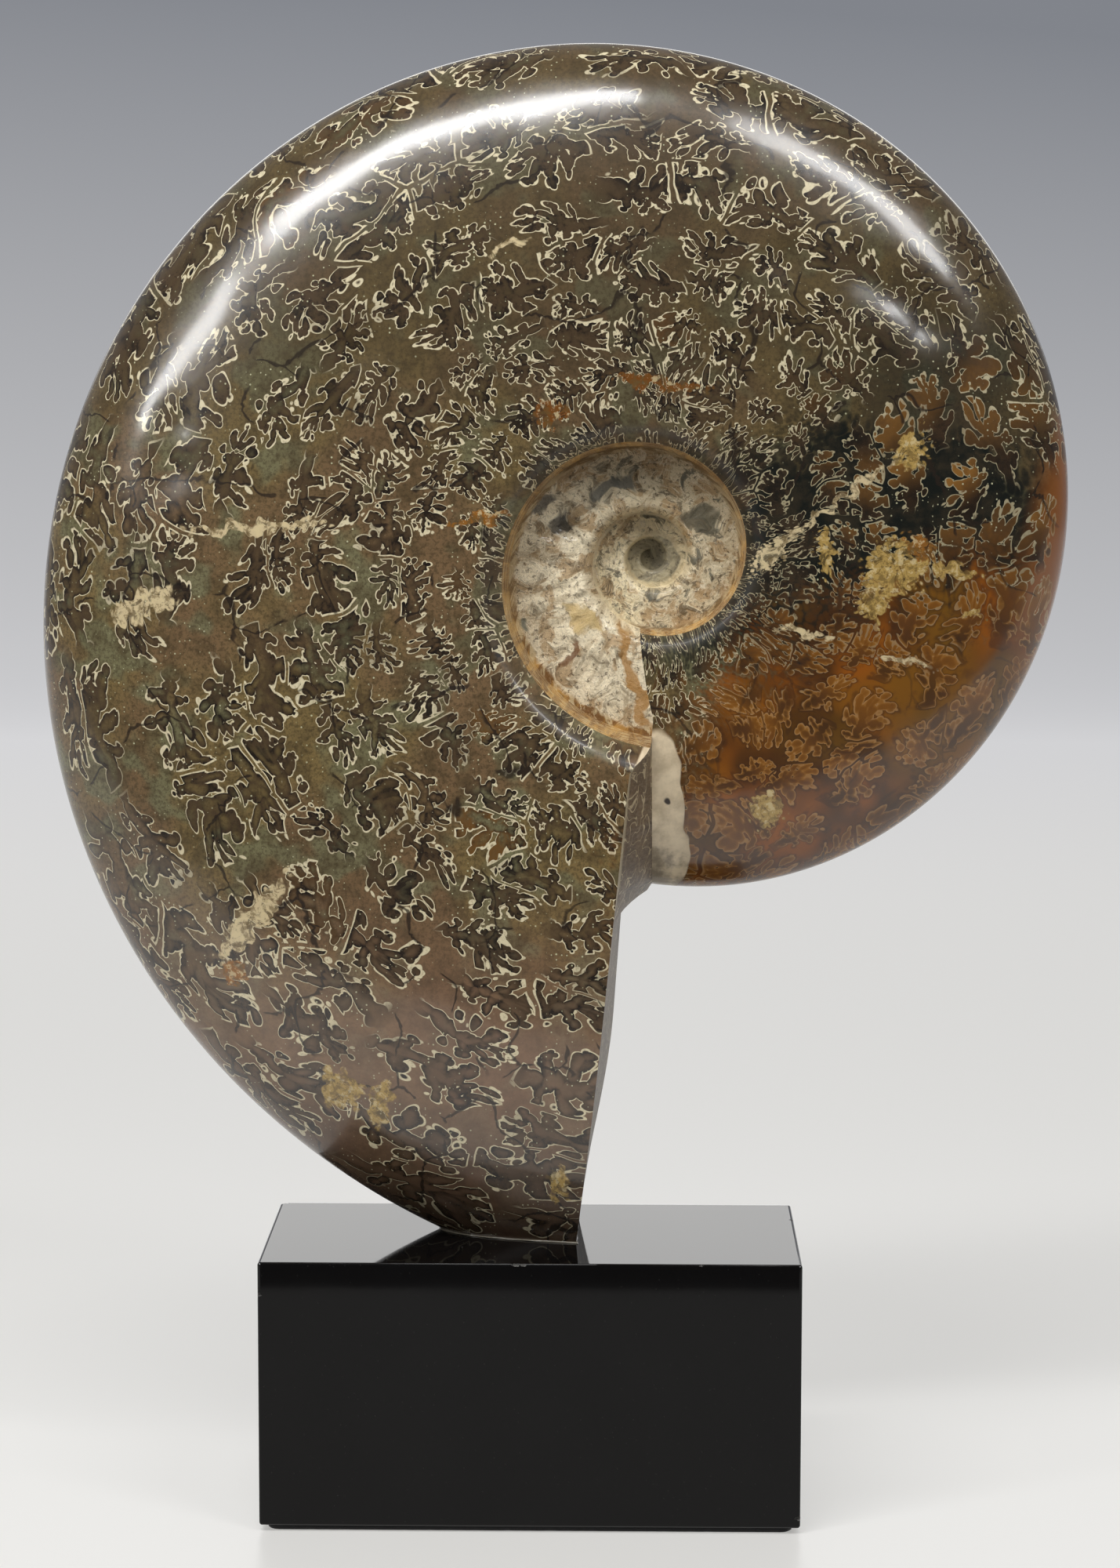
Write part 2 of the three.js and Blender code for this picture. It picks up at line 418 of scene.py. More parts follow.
def inner_whorls(surface, outer, side):
    """The whorls inside the last one, joined to its points; returns their own points."""
    count = int(round(UMBILICUS_TURNS * 360 / ANGLE_STEP))
    angle = SPLIT_ANGLE - 360 - ANGLE_STEP * np.arange(count + 1)
    above = angle + 360
    share = row_shares(share_at(radius_at(above, seam_share(above)), angle), seam_share(angle))
    start = smooth(angle, angle[0] - START_BLEND_ANGLE, angle[0])[:, None]
    around = angle[:, None] + start * split_bend(radius_at(angle[:, None], share))
    x, z, radius, height = place_points(around, share)
    across = np.linspace(0, 1, SHARED_ROWS + 1)[None, :].repeat(count + 1, axis=0)
    raised = height + umbilicus_relief(x, z, radius, around, across, side)
    points = np.stack([x, SHELL_CENTRE[1] + side * raised, z], axis=-1)
    points[0] = outer[0, FLANK_ROWS:]
    points[:PER_TURN + 1, 0] = outer[::-1, -1]
    for i in range(PER_TURN + 1, count + 1):
        points[i, 0] = points[i - PER_TURN, -1]
    ribbon = np.stack([around / 360, -across], axis=-1)
    flat = flat_map(around, radius, height, side, unroll=False)
    surface.grid(points, flat, ribbon, np.full(SHARED_ROWS + 1, UMBILICUS), side < 0)
    return points


def centre_boss(surface, points, side):
    """Closes the innermost whorl with a fan of triangles."""
    loop = list(points[-PER_TURN - 1:, -1]) + list(points[-1, SHARED_ROWS - 1:0:-1])
    centre = np.mean(loop, axis=0)
    centre[0], centre[2] = SHELL_CENTRE[0], SHELL_CENTRE[2]
    size = len(loop)
    order = [(0, 1 + k, 1 + (k + 1) % size) for k in range(size)]
    if side < 0:
        order = [(a, c, b) for a, b, c in order]
    surface.triangles(np.array([centre] + loop), order, UMBILICUS)


# The sawn face: its columns on each side, and how it is drawn to the corner at its top
FACE_COLUMNS = 6
CORNER_RAMP = 6.0
CORNER_MARGIN = 0.5


def stitch(upper, lower, side):
    """Triangles between two lines of points that both run upwards."""
    triples = []
    a, b = 0, 0
    while a < len(upper) - 1 or b < len(lower) - 1:
        upper_first = a < len(upper) - 1 and (
            b == len(lower) - 1 or upper[a + 1][2] <= lower[b + 1][2])
        if upper_first:
            triple = (a, a + 1, len(upper) + b)
            a += 1
        else:
            triple = (a, len(upper) + b + 1, len(upper) + b)
            b += 1
        triples.append(triple if side > 0 else (triple[0], triple[2], triple[1]))
    return triples


def saw_face(surface, edges, inner):
    """The sawn end of the last whorl, from the flanks' edges down to the whorl inside it."""
    corner = inner[-1][0]
    radius = np.hypot(edges[-1][:, 0] - SHELL_CENTRE[0], edges[-1][:, 2] - SHELL_CENTRE[2])
    corner_radius = math.hypot(corner[0] - SHELL_CENTRE[0], corner[2] - SHELL_CENTRE[2])
    last = int(np.argmax(radius < corner_radius + CORNER_MARGIN))
    middle = (edges[-1][:last + 1] + edges[1][:last + 1]) / 2
    middle[:, 1] = SHELL_CENTRE[1]
    pull = smooth(corner_radius + CORNER_RAMP - radius[:last + 1], 0, CORNER_RAMP)[:, None]
    middle = middle + (corner - middle) * pull * np.array([[1.0, 0.0, 0.0]])
    middle[last] = corner
    for side in (-1, 1):
        edge = edges[side][:last + 1]
        steps = np.linspace(0, 1, FACE_COLUMNS + 1)[None, :, None]
        points = edge[:, None, :] * (1 - steps) + middle[:, None, :] * steps
        flat = points[:, :, 1:] * MM
        surface.grid(points, flat, np.zeros(flat.shape), np.full(FACE_COLUMNS + 1, SAWN), side < 0)
        upper = np.concatenate([points[-1, -2::-1], edges[side][last + 1:]])
        lower = inner[side][:FLANK_ROWS + 1]
        triples = stitch(upper, lower, side)
        surface.triangles(np.concatenate([upper, lower]), triples, SAWN, across=1)


# The level of the ground foot in millimetres, and distances for joining points in metres
FOOT_LEVEL = 51.1
WELD_DISTANCE = 2e-6
TINY = 1e-7


def cut_foot(data):
    """Grinds the mesh flat at the height where it stands on its glue."""
    work = bmesh.new()
    work.from_mesh(data)
    bmesh.ops.remove_doubles(work, verts=work.verts, dist=WELD_DISTANCE)
    bmesh.ops.dissolve_degenerate(work, edges=work.edges, dist=TINY)
    geometry = list(work.verts) + list(work.edges) + list(work.faces)
    cut = bmesh.ops.bisect_plane(
        work, geom=geometry, dist=TINY, plane_co=(0, 0, FOOT_LEVEL * MM), plane_no=(0, 0, 1),
        clear_inner=True)
    rim = [item for item in cut["geom_cut"] if isinstance(item, bmesh.types.BMEdge)]
    bmesh.ops.contextual_create(work, geom=rim, mat_nr=SAWN)
    bmesh.ops.recalc_face_normals(work, faces=work.faces)
    work.to_mesh(data)
    work.free()


def smooth_mesh(data, angle):
    """Smooth shading, with edges that turn by more than an angle in degrees left sharp."""
    data.polygons.foreach_set("use_smooth", [True] * len(data.polygons))
    data.set_sharp_from_angle(angle=math.radians(angle))


def make_ammonite():
    surface = Surface()
    edges, inner = {}, {}
    for side in (-1, 1):
        points = last_whorl(surface, side)
        centre_boss(surface, inner_whorls(surface, points, side), side)
        edges[side], inner[side] = points[-1], points[0]
    saw_face(surface, edges, inner)
    data = surface.mesh("ammonite_shell")
    cut_foot(data)
    smooth_mesh(data, 38)
    for material in (flank_material(), umbilicus_material(), sawn_material()):
        data.materials.append(material)
    return link("ammonite_shell", data, "ammonite")


# Materials

POLISH_ROUGHNESS = 0.12
STONE_IOR = 1.5
MARBLE_IOR = 1.3


def sign(operation, swapped=False):
    """A sign of arithmetic between two values, as one node."""
    def apply(self, other):
        return self.net.math(operation, *((other, self) if swapped else (self, other)))
    return apply


class Val:
    """A value in a node tree, with the usual signs of arithmetic."""

    def __init__(self, net, socket):
        self.net = net
        self.socket = socket

    __add__ = sign("ADD")
    __radd__ = sign("ADD", swapped=True)
    __sub__ = sign("SUBTRACT")
    __rsub__ = sign("SUBTRACT", swapped=True)
    __mul__ = sign("MULTIPLY")
    __rmul__ = sign("MULTIPLY", swapped=True)
    __truediv__ = sign("DIVIDE")
    least = sign("MINIMUM")
    most = sign("MAXIMUM")

    def __abs__(self):
        return self.net.math("ABSOLUTE", self)

    def rise(self, low, high):
        """0 at low and 1 at high, with soft ends."""
        inputs = {0: self, 1: low, 2: high}
        node = self.net.node("ShaderNodeMapRange", inputs, interpolation_type="SMOOTHSTEP")
        return Val(self.net, node.outputs[0])


class Net:
    """A node tree, a material's or the world's, built by writing sums."""

    def __init__(self, name, kind="materials"):
        self.owner = getattr(bpy.data, kind).new(name)
        self.owner.use_nodes = True
        self.tree = self.owner.node_tree
        self.shader = self.tree.nodes.get("Principled BSDF")

    def feed(self, socket, value):
        if isinstance(value, Val):
            self.tree.links.new(value.socket, socket)
        elif isinstance(value, tuple) and socket.type == "RGBA":
            socket.default_value = (*value, 1.0)
        else:
            socket.default_value = value

    def node(self, kind, inputs, **settings):
        """A new node, with its inputs given by name or number."""
        node = self.tree.nodes.new(kind)
        for key, value in settings.items():
            setattr(node, key, value)
        for key, value in inputs.items():
            self.feed(node.inputs[key], value)
        return node

    def math(self, operation, *values):
        node = self.node("ShaderNodeMath", dict(enumerate(values)), operation=operation)
        return Val(self, node.outputs[0])

    def vector(self, operation, *values, output=0):
        inputs = dict(zip((0, "Scale") if operation == "SCALE" else (0, 1), values))
        node = self.node("ShaderNodeVectorMath", inputs, operation=operation)
        return Val(self, node.outputs[output])

    def noise(self, place, size, detail=2.0, rough=0.5, colour=False, dimensions="2D"):
        """Noise with lumps of about the given size, in the place's own units."""
        inputs = {"Vector": place, "Scale": 1 / size, "Detail": detail, "Roughness": rough}
        node = self.node("ShaderNodeTexNoise", inputs, noise_dimensions=dimensions)
        return Val(self, node.outputs["Color" if colour else "Fac"])

    def cells(self, place, size, randomness=1.0, feature="F1", dimensions="2D"):
        """Cells of about the given size, as all outputs of the node by name."""
        inputs = {"Vector": place, "Scale": 1 / size, "Randomness": randomness}
        node = self.node(
            "ShaderNodeTexVoronoi", inputs, voronoi_dimensions=dimensions, feature=feature)
        return {output.name: Val(self, output) for output in node.outputs}

    def split(self, value):
        node = self.node("ShaderNodeSeparateXYZ", {0: value})
        return [Val(self, output) for output in node.outputs]

    def join(self, x, y, z=0.0):
        return Val(self, self.node("ShaderNodeCombineXYZ", {0: x, 1: y, 2: z}).outputs[0])

    def blend(self, share, first, second):
        node = self.node("ShaderNodeMix", {0: share, 6: first, 7: second}, data_type="RGBA")
        return Val(self, node.outputs[2])

    def coats(self, base, *layers):
        """A colour with others laid over it in turn, each given as its share and itself."""
        for share, colour in layers:
            base = self.blend(share, base, colour)
        return base

    def map(self, name):
        """A flat map of the mesh, in its own units."""
        return Val(self, self.node("ShaderNodeUVMap", {}, uv_map=name).outputs[0])

    def place(self):
        """The place on the mesh's rolled-out plan, in millimetres."""
        return self.vector("SCALE", self.map("flat"), 1 / MM)

    def coordinate(self, kind):
        return Val(self, self.node("ShaderNodeTexCoord", {}).outputs[kind])

    def spot(self):
        """The place on the piece itself, in millimetres."""
        return self.vector("SCALE", self.coordinate("Object"), 1 / MM)

    def warp(self, place, size, amount, dimensions="2D"):
        shove = self.noise(place, size, 0.0, colour=True, dimensions=dimensions)
        shove = self.vector("SUBTRACT", shove, (0.5, 0.5, 0.5))
        reach = (amount, amount, amount if dimensions == "3D" else 0.0)
        return self.vector("ADD", place, self.vector("MULTIPLY", shove, reach))

    def relief(self, height, distance):
        """Bump of the given height in millimetres."""
        inputs = {"Strength": 1.0, "Distance": distance * MM, "Height": height}
        node = self.node("ShaderNodeBump", inputs)
        self.tree.links.new(node.outputs[0], self.shader.inputs["Normal"])

    def polish(self, weight):
        """A clear layer of the given weight over the surface."""
        self.feed(self.shader.inputs["Coat Weight"], weight)
        self.shader.inputs["Coat Roughness"].default_value = POLISH_ROUGHNESS

    def finish(self, colour, roughness, ior=STONE_IOR):
        self.feed(self.shader.inputs["Base Color"], colour)
        self.feed(self.shader.inputs["Roughness"], roughness)
        self.shader.inputs["IOR"].default_value = ior
        return self.owner


# One leaf's field: its width at the shell's centre and the share of the distance from there that
# it gains, its length in widths, and the fields in one turn
LEAF_WIDTH = 5.6
LEAF_SHARE = 0.048
LEAF_LENGTH = 1.5
LEAVES_PER_TURN = 28

# How leaves differ in place, direction, lean, skew and size, how deep their frill goes, and the gap
# at a field's border
LEAF_SCATTER = 0.6
REVERSED_FROM = 0.80
LEAF_LEAN = 0.9
LEAF_SKEW = 0.2
LEAST_SIZE = 0.86
SIZE_SPREAD = 0.42
SCALLOP_SIZE = 0.18
FRILL_DEPTH = 0.21
FRILL_SHIFT = 0.035
FIELD_GAP = 0.05
FIELD_SLOPE = 0.8

# Limbs of a leaf on either side of its midrib: start, end and half width, across and along the
# whorl in leaf widths, the aperture lying ahead
LIMBS = [
    ((0.0, -0.95), (0.0, 0.10), 0.16),
    ((0.0, -0.36), (0.29, -0.33), 0.10),
    ((0.0, -0.06), (0.37, 0.04), 0.12),
    ((0.03, 0.12), (0.30, 0.42), 0.12),
    ((0.02, 0.14), (0.09, 0.60), 0.085),
]


def whorl_frame(net, place):
    """Place across and along the whorl in leaf widths, and one leaf width in millimetres."""
    x, z, _ = net.split(place)
    x = x - SHELL_CENTRE[0]
    z = z - SHELL_CENTRE[2]
    radius = net.math("SQRT", x * x + z * z)
    along = net.math("ARCTAN2", 0.0 - x, z)
    width = radius * LEAF_SHARE + LEAF_WIDTH
    across = net.math("LOGARITHM", width, math.e) * (1 / LEAF_SHARE)
    along = along * (LEAF_LENGTH * LEAVES_PER_TURN / math.tau)
    return net.join(across, along), width


def limb(net, point, start, end, half_width):
    """Distance outside a straight limb with round ends."""
    run = (end[0] - start[0], end[1] - start[1], 0.0)
    square = run[0] ** 2 + run[1] ** 2
    arm = net.vector("SUBTRACT", point, (*start, 0.0))
    share = net.vector("DOT_PRODUCT", arm, (run[0] / square, run[1] / square, 0.0), output=1)
    share = share.most(0.0).least(1.0)
    foot = net.vector("MULTIPLY", net.join(share, share), run)
    return net.vector("DISTANCE", arm, foot, output=1) - half_width


def sutured_leaves(net, frame, width, frill):
    """Frilled leaves, one to a field, with rounded lobes towards the aperture.

    Gives the distance outside the outline in millimetres, the place along the leaf and two
    random values of the leaf.
    """
    across, along, _ = net.split(frame)
    field = net.join(across, along * (1 / LEAF_LENGTH))
    cell = net.cells(field, 1.0, LEAF_SCATTER)
    gap = net.cells(field, 1.0, LEAF_SCATTER, "F2")["Distance"] - cell["Distance"]
    x, y, _ = net.split(net.vector("SUBTRACT", field, cell["Position"]))
    first, second, third = net.split(cell["Color"])
    turned = 1.0 - net.math("GREATER_THAN", first, REVERSED_FROM) * 2.0
    y = y * turned * LEAF_LENGTH + x * (second - 0.5) * LEAF_LEAN
    size = third * SIZE_SPREAD + LEAST_SIZE
    point = net.join(abs(x + y * (first - 0.5) * LEAF_SKEW) / size, y / size)
    outside = limb(net, point, *LIMBS[0])
    for start, end, half_width in LIMBS[1:]:
        outside = outside.least(limb(net, point, start, end, half_width))
    outside = outside * size + (frill * frill * FRILL_DEPTH - FRILL_SHIFT)
    outside = outside.most((FIELD_GAP - gap) * FIELD_SLOPE)
    return outside * width, y / size, second, third


def spot_mask(net, place, x, z, long, wide, turn, edge, ragged=0.0):
    """1 inside a slanted oval and 0 outside, with an edge of the given softness."""
    inputs = {
        "Vector": place, "Location": (x, z, 0), "Rotation": (0, 0, math.radians(turn)),
        "Scale": (long, wide, 1000),
    }
    node = net.node("ShaderNodeMapping", inputs, vector_type="TEXTURE")
    away = net.vector("LENGTH", Val(net, node.outputs[0]), output=1) + ragged
    return 1.0 - away.rise(1.0 - edge, 1.0 + edge)


def mirrored(net, place):
    """Folds the back flank's map onto the front's, for marks that both flanks share."""
    x, y, _ = net.split(place)
    return net.join(SIDE_SHIFT / 2 - abs(x - SIDE_SHIFT / 2), y)


# Regions of the flank: x, z, half length, half width, slant, softness of the edge
SHADE = (58.0, 181.0, 42.0, 25.0, 10, 0.22)
UPPER_SHADE = (75.0, 207.0, 20.0, 17.0, -40, 0.6)
AMBER = (62.0, 139.0, 48.0, 31.0, 38, 0.22)
AMBER_RIM = (104.5, 182.0, 24.0, 8.0, 82, 0.4)
EMBER_RIM = (101.5, 181.0, 30.0, 8.5, 80, 0.45)
GILDED = (84.0, 190.0, 32.0, 24.0, -35, 0.4)
LOWER_GILDED = (52.0, 152.0, 26.0, 9.0, -8, 0.5)
MATRIX_PATCH = (23.4, 126.5, 5.4, 21.0, 0, 0.03)
# painted shade: a dark dot stands for the shade in a small hole in the matrix
MATRIX_HOLE_SHADE = (24.3, 134.6, 0.6, 0.5, 0, 0.3)

# Colours of the patches
CREAM = srgb(205, 186, 146)
YELLOW = srgb(176, 146, 82)
ORANGE = srgb(142, 92, 34)
RUST = srgb(114, 68, 24)

# Patches where the suture lines give way to plain calcite: x, z, half length, half width, slant,
# edge, colour
PATCHES = [
    (-72.0, 170.5, 6.6, 2.2, 20, 0.35, CREAM),
    (-51.5, 112.8, 10.5, 2.3, 50, 0.35, CREAM),
    (-55.8, 102.0, 2.3, 2.8, 10, 0.4, ORANGE),
    (-50.0, 185.2, 13.0, 1.1, 2, 0.5, CREAM),
    (-9.2, 186.8, 5.2, 1.0, 8, 0.5, ORANGE),
    (-36.0, 79.5, 3.6, 4.4, 30, 0.35, YELLOW),
    (-28.6, 77.0, 2.4, 4.8, -15, 0.4, YELLOW),
    (4.8, 62.0, 1.8, 3.4, 0, 0.5, YELLOW),
    (23.0, 211.3, 8.5, 1.2, -8, 0.6, RUST),
    (4.0, 205.6, 2.6, 2.4, 20, 0.45, RUST),
    (-4.7, 235.6, 3.4, 0.7, 28, 0.8, CREAM),
    (56.5, 190.5, 12.0, 0.6, 38, 0.9, CREAM),
    (44.6, 181.0, 5.2, 2.0, 43, 0.4, CREAM),
    (66.6, 177.6, 5.8, 4.8, 20, 0.45, YELLOW),
    (70.6, 182.0, 2.6, 2.4, 0, 0.4, ORANGE),
    (69.2, 199.0, 3.6, 3.0, 60, 0.5, YELLOW),
    (62.8, 171.8, 2.6, 4.2, -20, 0.4, YELLOW),
    (76.8, 177.2, 5.6, 1.3, -12, 0.5, YELLOW),
    (53.6, 180.4, 2.0, 3.6, 10, 0.45, YELLOW),
    (50.4, 166.0, 5.4, 0.9, -12, 0.7, CREAM),
    (69.0, 160.2, 5.2, 0.8, -8, 0.7, CREAM),
    (81.2, 169.0, 2.6, 0.9, 0, 0.4, YELLOW),
    (43.5, 132.5, 3.0, 3.6, 0, 0.4, YELLOW),
]


def flank_maps(net):
    """What the flank's colours share: places, noises, the leaves' fields and the regions."""
    flat = net.place()
    place = mirrored(net, flat)
    frame, width = whorl_frame(net, net.warp(net.warp(place, 11.0, 5.0), 2.6, 0.6))
    frill = net.cells(frame, SCALLOP_SIZE, 0.9)["Distance"]
    outside, forward, chance, luck = sutured_leaves(net, frame, width, frill)
    ragged = net.warp(place, 14.0, 9.0)
    fringe = (frill * frill * 0.35).least(0.2) - 0.05
    shade = spot_mask(net, ragged, *SHADE, fringe)
    amber = spot_mask(net, ragged, *AMBER, fringe)
    return SimpleNamespace(
        flat=flat, place=place, height=net.split(place)[1],
        width=width, frill=frill, outside=outside, forward=forward, chance=chance, luck=luck,
        shade=shade.most(spot_mask(net, ragged, *UPPER_SHADE) * 0.7),
        amber=amber.most(spot_mask(net, place, *AMBER_RIM)),
        gilded=spot_mask(net, ragged, *GILDED).most(spot_mask(net, ragged, *LOWER_GILDED)),
        wide=net.noise(place, 34.0, 2.0),
        cloud=net.noise(place, 5.0, 4.0, 0.65),
        grain=net.noise(place, 0.8, 3.0, 0.75))


def flank_ground(net, maps):
    """Colour between the leaves: olive to brown, darker above, dark by the umbilicus, then amber."""
    cloud, wide, height = maps.cloud, maps.wide, maps.height
    green = net.noise(maps.place, 13.0, 2.0, 0.6)
    glow = net.noise(maps.place, 15.0, 2.0).rise(0.35, 0.68)
    honey = net.coats(
        net.blend(glow, srgb(78, 46, 14), srgb(144, 80, 16)),
        (wide.rise(0.45, 0.62) * 0.7, srgb(116, 82, 22)),
        (cloud.rise(0.50, 0.75) * 0.5, srgb(70, 44, 24)))
    return net.coats(
        net.blend(wide.rise(0.40, 0.60), srgb(122, 103, 64), srgb(116, 92, 64)),
        (green.rise(0.50, 0.62) * 0.75, srgb(116, 116, 86)),
        (cloud.rise(0.40, 0.70) * 0.7, srgb(76, 63, 40)),
        (maps.grain.rise(0.42, 0.66) * 0.6, srgb(62, 51, 32)),
        (height.rise(185.0, 225.0) * 0.6, srgb(66, 55, 38)),
        (height.rise(128.0, 84.0) * 0.75, net.blend(cloud, srgb(150, 116, 92), srgb(88, 68, 54))),
        (height.rise(84.0, 56.0) * 0.45, srgb(50, 40, 33)),
        (maps.shade, net.blend(cloud.rise(0.35, 0.7), srgb(18, 21, 16), srgb(46, 40, 28))),
        (maps.amber, honey),
        (maps.amber * maps.outside.rise(0.9, 0.0) * 0.6, srgb(60, 36, 19)),
        (spot_mask(net, maps.place, *EMBER_RIM) * 0.8, srgb(146, 84, 24)))


def leaf_coat(net, maps, ground):
    """Where the leaves are, and their colour: dark, tawny or clear, with the ground at the heart."""
    depth = maps.outside * -1.0
    inside = (1.0 - maps.outside.rise(-0.04, 0.04)) * maps.forward.rise(-0.90, -0.45)
    hollow = depth.rise(0.3, 1.7) * (maps.chance * 0.5 + 0.45) * (1.0 - maps.gilded * 0.8)
    tawny = net.blend(maps.forward.rise(-0.4, 0.5), srgb(36, 25, 14), srgb(142, 98, 42))
    tawny = net.blend(maps.cloud.rise(0.42, 0.7) * 0.5, tawny, srgb(70, 44, 22))
    clear = net.blend(maps.forward.rise(-0.5, 0.5), srgb(58, 34, 14), srgb(124, 76, 22))
    clear = net.blend(depth.rise(0.0, 0.8) * 0.9, srgb(152, 104, 44), clear)
    clear = net.blend(maps.cloud.rise(0.45, 0.7) * 0.45, clear, srgb(88, 54, 28))
    return inside, net.coats(
        net.blend((maps.cloud + maps.grain * 0.6).rise(0.62, 0.98), srgb(28, 21, 15), srgb(74, 58, 40)),
        (maps.chance.rise(0.94, 0.97) * maps.cloud.rise(0.3, 0.6) * maps.luck, srgb(110, 76, 34)),
        (maps.shade * 0.5, srgb(34, 28, 20)),
        (maps.gilded * (0.95 - maps.luck * 0.6), tawny),
        (maps.amber, clear),
        (hollow * (1.0 - maps.amber * 0.3), ground))


def outline_coat(net, maps):
    """The pale line round each leaf, which swells at some tips and is worn in places."""
    swell = net.noise(maps.place, 8.0, 2.0).rise(0.46, 0.60)
    tip = (1.0 - maps.frill.rise(0.10, 0.50)) * maps.forward.rise(-0.2, 0.5)
    thick = (tip * swell * 0.24 + 0.07) * (maps.width * 0.13).least(1.0)
    line = 1.0 - (abs(maps.outside + thick) - thick).rise(0.0, 0.10)
    line = line * maps.forward.rise(-0.80, -0.55)
    worn = net.noise(maps.place, 21.0, 1.0).rise(0.25, 0.42)
    pale = net.coats(
        net.blend(maps.amber, srgb(216, 204, 170), srgb(172, 134, 88)),
        (maps.shade * 0.8, srgb(148, 138, 108)),
        (maps.grain.rise(0.45, 0.7) * 0.4, srgb(140, 124, 94)))
    return line * (worn * 0.45 + 0.55) * (1.0 - maps.amber * 0.55), pale


def speck_coat(net, maps):
    """Pale specks where the ground is dusty."""
    speck = net.cells(maps.place, 0.95)
    dot = 1.0 - (speck["Distance"] + net.split(speck["Color"])[0] * 0.8).rise(0.12, 0.23)
    dusty = net.noise(maps.place, 14.0, 3.0, 0.7).rise(0.40, 0.54)
    return dot * dusty * (1.0 - maps.amber) * 0.9, srgb(196, 194, 158)


def vein_coat(net, maps):
    """Dark veins that run for a stretch and stop."""
    place = net.warp(net.warp(maps.place, 8.0, 7.0), 1.2, 0.8)
    vein = net.cells(place, 19.0, 1.0, "DISTANCE_TO_EDGE")["Distance"]
    vein = 1.0 - (vein + maps.cloud * 0.02).rise(0.018, 0.034)
    vein = vein * net.noise(maps.place, 8.5, 1.0).rise(0.47, 0.53)
    return vein * 0.85 * (1.0 - maps.amber * 0.6), srgb(38, 29, 21)


def patched_colour(net, maps, colour):
    """Lays the calcite patches over a colour, torn at their edges and crumbly inside."""
    torn = net.warp(net.warp(maps.flat, 3.4, 3.0), 0.8, 0.8)
    whole = 1.0 - net.noise(torn, 1.7, 3.0, 0.65).rise(0.50, 0.62) * 0.75
    crumbs = net.noise(maps.flat, 1.8, 4.0, 0.7)
    ragged = maps.frill * 0.9 - 0.35
    patched = 0.0
    for x, z, long, wide, slant, edge, tone in PATCHES:
        mask = spot_mask(net, torn, x, z, long, wide, slant, edge * 0.3, ragged)
        colour = net.blend(mask * whole, colour, tone)
        patched = mask.most(patched)
    return net.coats(
        colour,
        (patched * crumbs.rise(0.50, 0.62) * 0.65, srgb(98, 78, 42)),
        (patched * crumbs.rise(0.46, 0.36) * 0.6, srgb(214, 196, 150)))


def matrix_coat(net, maps):
    """The pale matrix beside the saw cut, darker towards its foot, with one small hole whose shade is
    painted as a dark dot.
    """
    shaken = net.warp(maps.place, 4.5, 2.4)
    foot_darkening = (maps.cloud - (maps.height - 112.0) * 0.03).rise(0.1, 0.45)
    return spot_mask(net, shaken, *MATRIX_PATCH), net.coats(
        net.blend(maps.cloud.rise(0.3, 0.75), srgb(228, 209, 176), srgb(192, 173, 142)),
        (foot_darkening * 0.6, srgb(84, 76, 68)),
        # painted shade of the matrix's small hole
        (spot_mask(net, shaken, *MATRIX_HOLE_SHADE), srgb(60, 52, 46)))


def flank_material():
    net = Net("polished_flank")
    maps = flank_maps(net)
    ground = flank_ground(net, maps)
    colour = net.coats(
        ground, leaf_coat(net, maps, ground), outline_coat(net, maps), speck_coat(net, maps),
        vein_coat(net, maps))
    matrix, putty = matrix_coat(net, maps)
    colour = net.blend(matrix, patched_colour(net, maps, colour), putty)
    net.relief(net.noise(maps.place, 6.0, 1.0) + net.noise(maps.place, 1.5, 0.0) * 0.2, 0.06)
    lip = net.split(net.map("ribbon"))[1].rise(6.5, 2.5)
    net.polish(0.6 - lip * 0.5)
    return net.finish(colour, 0.25 + matrix * 0.35 + lip * 0.3)


# Marks in the umbilicus, with x, z, half length, half width, slant and colour, and its centre's
# two ovals
MARKS = [
    (9.5, 168.0, 4.4, 1.5, -38, srgb(206, 178, 120)),
    (18.8, 157.0, 10.5, 1.2, -76, srgb(168, 120, 50)),
    (6.9, 161.8, 3.7, 0.7, 68, srgb(120, 76, 38)),
    # painted shade: this near-black mark fills the pit pressed in at the same place
    (5.6, 185.1, 2.3, 1.7, 10, srgb(34, 30, 25)),
    (-1.3, 166.9, 1.0, 0.8, 0, srgb(98, 100, 84)),
    (2.0, 189.0, 3.5, 1.4, 25, srgb(96, 92, 82)),
    (15.0, 192.5, 4.5, 1.3, 20, srgb(92, 92, 84)),
    (31.0, 186.0, 3.2, 1.8, -30, srgb(92, 88, 70)),
]
MARK_EDGE = 0.25
HEART = (22.4, 178.6, 4.7, 4.4, 0, 0.05)
HALO = (22.4, 178.6, 5.5, 5.2, 0, 0.06)


def umbilicus_maps(net):
    """What the umbilicus's colours share: places, noises, its open end and its innermost turns."""
    place = net.place()
    turn, across, _ = net.split(net.map("ribbon"))
    torn = net.warp(net.warp(place, 4.0, 3.6), 0.9, 1.0)
    strand = net.join(turn * 16.0, across * 20.0)
    strand = net.vector("ADD", strand, net.vector("SCALE", place, 0.35))
    return SimpleNamespace(
        place=place, turn=turn, across=across, torn=torn,
        grain=net.noise(place, 0.6, 5.0, 0.75),
        mottle=net.noise(torn, 3.0, 5.0, 0.7),
        blotch=net.noise(torn, 4.5, 4.0, 0.6),
        pits=net.noise(place, 1.1, 4.0, 0.75).rise(0.58, 0.64),
        strand=net.noise(strand, 1.0, 4.0, 0.65),
        fold=net.noise(net.join(turn * 60.0, across * 2.0), 1.0, 3.0, 0.6),
        open_end=turn.rise(-0.78, -0.50),
        inner=turn.rise(-1.22, -1.34))


